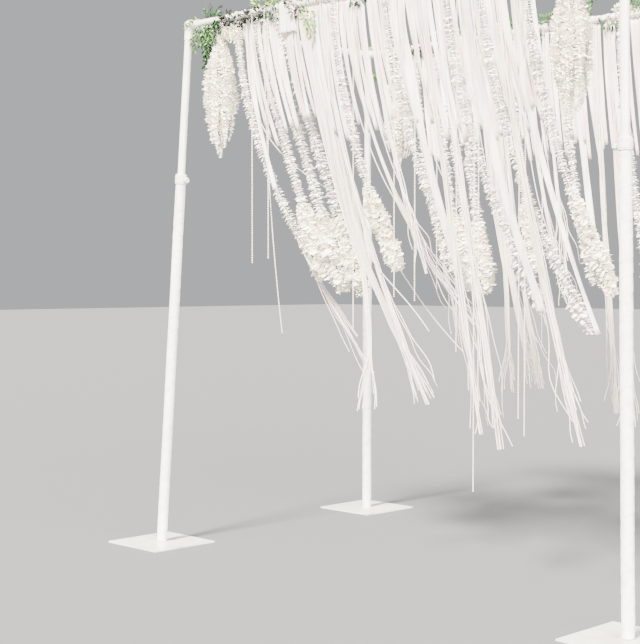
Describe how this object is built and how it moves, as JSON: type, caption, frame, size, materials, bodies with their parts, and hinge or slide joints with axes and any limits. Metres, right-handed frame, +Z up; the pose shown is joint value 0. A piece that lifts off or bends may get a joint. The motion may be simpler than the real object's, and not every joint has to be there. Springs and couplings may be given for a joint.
{
  "type": "chuppah wedding canopy frame with side curtains",
  "caption": "Open chuppah canopy: splayed telescopic posts on foot plates carry head rails hung with flower garlands, ribbons and beaded strings.",
  "frame": {"origin": "on the ground, in the middle of the four feet", "axes": "+Z up, +Y from the front opening to the back opening, +X to the right"},
  "size_m": [2.287, 3.757, 3.2278],
  "materials": {
    "steel": "white powder coat",
    "wound_cloth": "white cloth wound round the tube",
    "tube": "white satin paint",
    "collar": "white moulded plastic",
    "curtain": "white petals, satin ribbon and string",
    "leaves": "silk leaves",
    "blossom": "cream white silk blossom",
    "beads": "pearl beads on thread"
  },
  "bodies": {
    "head_frame": {"upper_post_back_left": "tube", "upper_post_back_right": "tube", "upper_post_front_left": "tube", "upper_post_front_right": "tube", "corner_fitting_back_left": "tube", "corner_fitting_back_right": "tube", "corner_fitting_front_left": "tube", "corner_fitting_front_right": "tube", "side_rail_left": "tube", "side_rail_right": "tube", "end_rail_back": "tube", "end_rail_front": "tube", "curtain_left_1": "curtain", "curtain_left_2": "curtain", "curtain_left_3": "curtain", "curtain_left_4": "curtain", "curtain_right_1": "curtain", "curtain_right_2": "curtain", "curtain_right_3": "curtain", "curtain_right_4": "curtain", "rail_greens_left": "leaves", "rail_greens_right": "leaves", "leaf_mass_back_left": "leaves", "leaf_mass_back_right": "leaves", "leaf_mass_front_left": "leaves", "leaf_mass_front_right": "leaves", "blossom_cluster_back_left": "blossom", "blossom_cluster_back_right": "blossom", "blossom_cluster_front_left": "blossom", "blossom_cluster_front_right": "blossom", "beaded_string_left_1": "beads", "beaded_string_left_2": "beads", "beaded_string_left_3": "beads", "beaded_string_left_4": "beads", "beaded_string_left_5": "beads", "beaded_string_left_6": "beads", "beaded_string_left_7": "beads", "beaded_string_left_8": "beads", "beaded_string_left_9": "beads", "beaded_string_left_10": "beads", "beaded_string_left_11": "beads", "beaded_string_right_1": "beads", "beaded_string_right_2": "beads", "beaded_string_right_3": "beads"},
    "leg_back_left": {"foot_plate_back_left": "steel", "lower_post_back_left": "wound_cloth", "lock_collar_back_left": "collar", "lock_knob_back_left": "collar"},
    "leg_back_right": {"foot_plate_back_right": "steel", "lower_post_back_right": "wound_cloth", "lock_collar_back_right": "collar", "lock_knob_back_right": "collar"},
    "leg_front_left": {"foot_plate_front_left": "steel", "lower_post_front_left": "wound_cloth", "lock_collar_front_left": "collar", "lock_knob_front_left": "collar"},
    "leg_front_right": {"foot_plate_front_right": "steel", "lower_post_front_right": "wound_cloth", "lock_collar_front_right": "collar", "lock_knob_front_right": "collar"}
  },
  "joints": [
    {"name": "telescope_back_left", "type": "slide", "parent": "head_frame", "child": "leg_back_left", "axis": [-0.0398, 0.0398, -0.9984], "range_m": [-0.4, 0.3]},
    {"name": "telescope_back_right", "type": "slide", "parent": "head_frame", "child": "leg_back_right", "axis": [0.0398, 0.0398, -0.9984], "range_m": [-0.4, 0.3]},
    {"name": "telescope_front_left", "type": "slide", "parent": "head_frame", "child": "leg_front_left", "axis": [-0.0398, -0.0398, -0.9984], "range_m": [-0.4, 0.3]},
    {"name": "telescope_front_right", "type": "slide", "parent": "head_frame", "child": "leg_front_right", "axis": [0.0398, -0.0398, -0.9984], "range_m": [-0.4, 0.3]}
  ]
}
